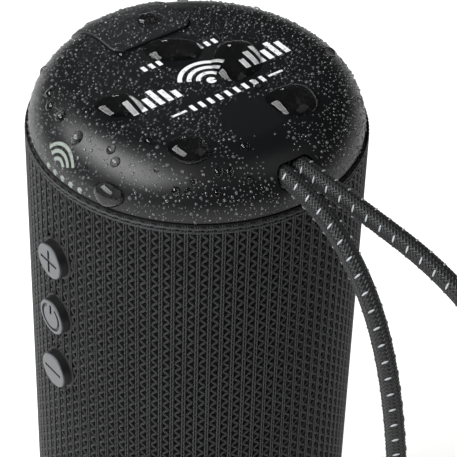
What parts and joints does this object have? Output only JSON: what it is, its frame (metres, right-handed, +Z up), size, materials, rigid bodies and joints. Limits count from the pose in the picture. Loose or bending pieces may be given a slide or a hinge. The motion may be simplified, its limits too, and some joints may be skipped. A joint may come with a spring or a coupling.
{
  "type": "portable bluetooth speaker",
  "caption": "Upright cylindrical portable wireless speaker in a knitted sleeve, with side buttons, covered sockets, hanging lanyard, inner drivers and battery.",
  "frame": {"origin": "centre of the foot, on the surface that it stands on", "axes": "+Z up through the cap, -Y to the side with the buttons, +X to the side that the lanyard leaves"},
  "size_m": [0.144, 0.0738, 0.1785],
  "materials": {
    "cap_plastic": "satin soft-touch moulding",
    "cover_rubber": "satin moulded silicone",
    "base_plastic": "satin moulding",
    "foot_rubber": "matt rubber",
    "knit_fabric": "two-tone ribbed mesh knit",
    "lattice_plastic": "moulded lattice",
    "shell_plastic": "moulded plastic",
    "seal_rubber": "cut sheet rubber",
    "steel_screw": "zinc plated",
    "button_plastic": "printed silicone key",
    "bezel_rubber": "moulded rubber",
    "circuit_board": "solder mask over glass fibre",
    "chip_black": "moulded epoxy packages",
    "switch_metal": "pressed plate",
    "cell_wrap": "shrink film",
    "holder_plastic": "moulded plastic",
    "basket_steel": "powder coated pressing",
    "cone_paper": "pressed paper pulp",
    "surround_rubber": "butyl rubber",
    "spider_cloth": "resin-dipped cloth",
    "coil_copper": "enamelled copper winding",
    "magnet_ferrite": "sintered ferrite",
    "yoke_steel": "zinc plated",
    "socket_metal": "drawn steel shell",
    "jack_plastic": "moulded plastic",
    "ribbon_film": "polyimide film",
    "wire_sleeve": "extruded insulation",
    "lanyard_braid": "braided polyester with reflective tracer",
    "ferrule_metal": "crimped aluminium"
  },
  "bodies": {
    "housing": {"top_cap": "cap_plastic", "port_cover_strap": "cover_rubber", "bottom_cap": "base_plastic", "rubber_feet": "foot_rubber", "knit_sleeve": "knit_fabric", "grille_tube": "lattice_plastic", "enclosure_front": "shell_plastic", "enclosure_rear": "shell_plastic", "enclosure_seals": "seal_rubber", "enclosure_screws": "steel_screw", "head_plate": "shell_plastic", "head_plate_screws": "steel_screw", "head_seal": "seal_rubber", "base_plate": "shell_plastic", "base_seal": "seal_rubber", "base_screws": "steel_screw", "button_bezel": "bezel_rubber", "button_board": "circuit_board", "button_switches": "switch_metal", "radiator_frame": "basket_steel", "radiator_surround": "surround_rubber", "battery_cells": "cell_wrap", "battery_holder": "holder_plastic", "main_board": "circuit_board", "board_chips": "chip_black", "board_screws": "steel_screw", "port_board": "circuit_board", "port_board_screws": "steel_screw", "usb_socket": "socket_metal", "aux_jack": "jack_plastic", "port_ribbon": "ribbon_film", "button_ribbon": "ribbon_film", "driver_leads": "wire_sleeve", "lanyard_ferrule": "ferrule_metal", "lanyard_cord": "lanyard_braid", "front_driver_basket": "basket_steel", "front_driver_gasket": "seal_rubber", "front_driver_surround": "surround_rubber", "front_driver_spider": "spider_cloth", "front_driver_magnet": "magnet_ferrite", "front_driver_yoke": "yoke_steel", "front_driver_screws": "steel_screw", "rear_driver_basket": "basket_steel", "rear_driver_gasket": "seal_rubber", "rear_driver_surround": "surround_rubber", "rear_driver_spider": "spider_cloth", "rear_driver_magnet": "magnet_ferrite", "rear_driver_yoke": "yoke_steel", "rear_driver_screws": "steel_screw"},
    "plus_key": {"button_plus": "button_plastic"},
    "power_key": {"button_power": "button_plastic"},
    "minus_key": {"button_minus": "button_plastic"},
    "cover": {"port_cover": "cover_rubber"},
    "front_cone": {"front_driver_cone": "cone_paper", "front_driver_voice_coil": "coil_copper"},
    "rear_cone": {"rear_driver_cone": "cone_paper", "rear_driver_voice_coil": "coil_copper"},
    "bass_plate": {"radiator_plate": "yoke_steel"}
  },
  "joints": [
    {"name": "plus_press", "type": "slide", "parent": "housing", "child": "plus_key", "axis": [0, 1, 0], "range_m": [0, 0.0006], "stiffness_N_per_m": 1200, "springref_m": -0.0002},
    {"name": "power_press", "type": "slide", "parent": "housing", "child": "power_key", "axis": [0, 1, 0], "range_m": [0, 0.0006], "stiffness_N_per_m": 1200, "springref_m": -0.0002},
    {"name": "minus_press", "type": "slide", "parent": "housing", "child": "minus_key", "axis": [0, 1, 0], "range_m": [0, 0.0006], "stiffness_N_per_m": 1200, "springref_m": -0.0002},
    {"name": "cover_hinge", "type": "hinge", "parent": "housing", "child": "cover", "pos_m": [-0.0341, 0, 0.1724], "axis": [0, -1, 0], "range_deg": [0, 115]},
    {"name": "front_cone_travel", "type": "slide", "parent": "housing", "child": "front_cone", "axis": [0, -1, 0], "range_m": [-0.0018, 0.0018], "stiffness_N_per_m": 900, "deforming": ["front_driver_surround", "front_driver_spider"]},
    {"name": "rear_cone_travel", "type": "slide", "parent": "housing", "child": "rear_cone", "axis": [0, 1, 0], "range_m": [-0.0018, 0.0018], "stiffness_N_per_m": 900, "deforming": ["rear_driver_surround", "rear_driver_spider"]},
    {"name": "bass_plate_travel", "type": "slide", "parent": "housing", "child": "bass_plate", "axis": [0, 0, 1], "range_m": [-0.0025, 0.0025], "stiffness_N_per_m": 700, "deforming": ["radiator_surround"]}
  ]
}
